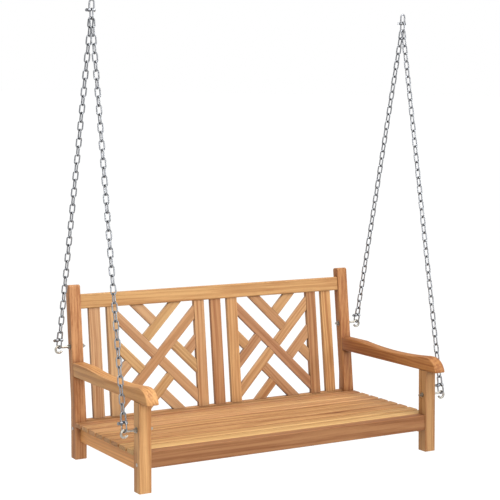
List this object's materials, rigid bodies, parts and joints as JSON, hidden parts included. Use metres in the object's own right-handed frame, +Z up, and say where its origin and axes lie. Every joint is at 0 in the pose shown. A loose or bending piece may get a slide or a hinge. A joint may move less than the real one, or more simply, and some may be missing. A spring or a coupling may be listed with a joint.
{
  "type": "porch swing",
  "caption": "Hardwood porch swing with a slatted seat, a leaning lattice back and dipped armrests, hung at each side on a V of steel chain from a shackle.",
  "frame": {"origin": "midway between the inside crowns of the two top shackles, the line that the swing hangs from", "axes": "+X across the bench to the right as seen from the front, +Y from the front to the back, +Z up"},
  "size_m": [1.3255, 0.6874, 1.6314],
  "materials": {
    "teak": "oiled, straight grained",
    "teak_pale": "oiled, straight grained",
    "teak_dark": "oiled, straight grained",
    "zinc_plated_steel": "zinc plated, slightly dulled"
  },
  "bodies": {
    "hangers": {"top_shackle_left": "zinc_plated_steel", "top_shackle_right": "zinc_plated_steel", "top_shackle_pin_left": "zinc_plated_steel", "top_shackle_pin_right": "zinc_plated_steel"},
    "top_link_left": {"top_link_left": "zinc_plated_steel"},
    "top_link_right": {"top_link_right": "zinc_plated_steel"},
    "chains_left": {"chain_back_left": "zinc_plated_steel", "chain_front_left": "zinc_plated_steel", "lower_shackles_left": "zinc_plated_steel", "lower_shackle_pins_left": "zinc_plated_steel", "lower_links_left": "zinc_plated_steel"},
    "chains_right": {"chain_back_right": "zinc_plated_steel", "chain_front_right": "zinc_plated_steel", "lower_shackles_right": "zinc_plated_steel", "lower_shackle_pins_right": "zinc_plated_steel", "lower_links_right": "zinc_plated_steel"},
    "bench": {"front_post_left": "teak", "front_post_right": "teak_dark", "back_post_left": "teak", "back_post_right": "teak", "front_rail": "teak_dark", "rear_rail": "teak", "side_rail_left": "teak", "side_rail_right": "teak", "centre_bearer": "teak", "seat_slat_1": "teak_pale", "seat_slat_2": "teak", "seat_slat_3": "teak_pale", "seat_slat_4": "teak", "seat_slat_5": "teak_pale", "seat_slat_6": "teak", "seat_slat_7": "teak", "seat_slat_8": "teak_dark", "armrest_left": "teak", "armrest_right": "teak", "top_rail": "teak", "back_slat_left": "teak", "back_slat_centre": "teak_pale", "back_slat_right": "teak", "outer_stile_left": "teak_dark", "inner_stile_left": "teak", "inner_stile_right": "teak", "outer_stile_right": "teak_dark", "lattice_main_left": "teak_dark", "lattice_halves_left": "teak", "lattice_bars_left": "teak", "lattice_shorts_left": "teak_pale", "lattice_main_right": "teak_dark", "lattice_halves_right": "teak", "lattice_bars_right": "teak", "lattice_shorts_right": "teak_pale", "rail_bolts": "zinc_plated_steel", "slat_screws": "zinc_plated_steel", "hook_front_left": "zinc_plated_steel", "hook_front_right": "zinc_plated_steel", "hook_back_left": "zinc_plated_steel", "hook_back_right": "zinc_plated_steel", "hook_nuts": "zinc_plated_steel", "hook_washers": "zinc_plated_steel"}
  },
  "joints": [
    {"name": "swing_left", "type": "hinge", "parent": "hangers", "child": "top_link_left", "pos_m": [-0.643, 0, -0.031], "axis": [1, 0, 0], "range_deg": [-30, 30]},
    {"name": "swing_right", "type": "hinge", "parent": "hangers", "child": "top_link_right", "pos_m": [0.643, 0, -0.031], "axis": [1, 0, 0], "range_deg": [-30, 30]},
    {"name": "sway_left", "type": "hinge", "parent": "top_link_left", "child": "chains_left", "pos_m": [-0.643, 0, -0.0578], "axis": [0, 0.9591, 0.283], "range_deg": [-8, 8]},
    {"name": "sway_right", "type": "hinge", "parent": "top_link_right", "child": "chains_right", "pos_m": [0.643, 0, -0.0578], "axis": [0, 0.9591, 0.283], "range_deg": [-8, 8]},
    {"name": "bench_on_left_hooks", "type": "hinge", "parent": "chains_left", "child": "bench", "pos_m": [-0.643, -0.31913, -1.38983], "axis": [0, 0.9591, 0.283], "range_deg": [-8, 8]}
  ],
  "couplings": [
    {"joint": "swing_right", "follows": "swing_left", "ratio": 1},
    {"joint": "sway_right", "follows": "sway_left", "ratio": 1},
    {"joint": "bench_on_left_hooks", "follows": "sway_left", "ratio": -1}
  ]
}
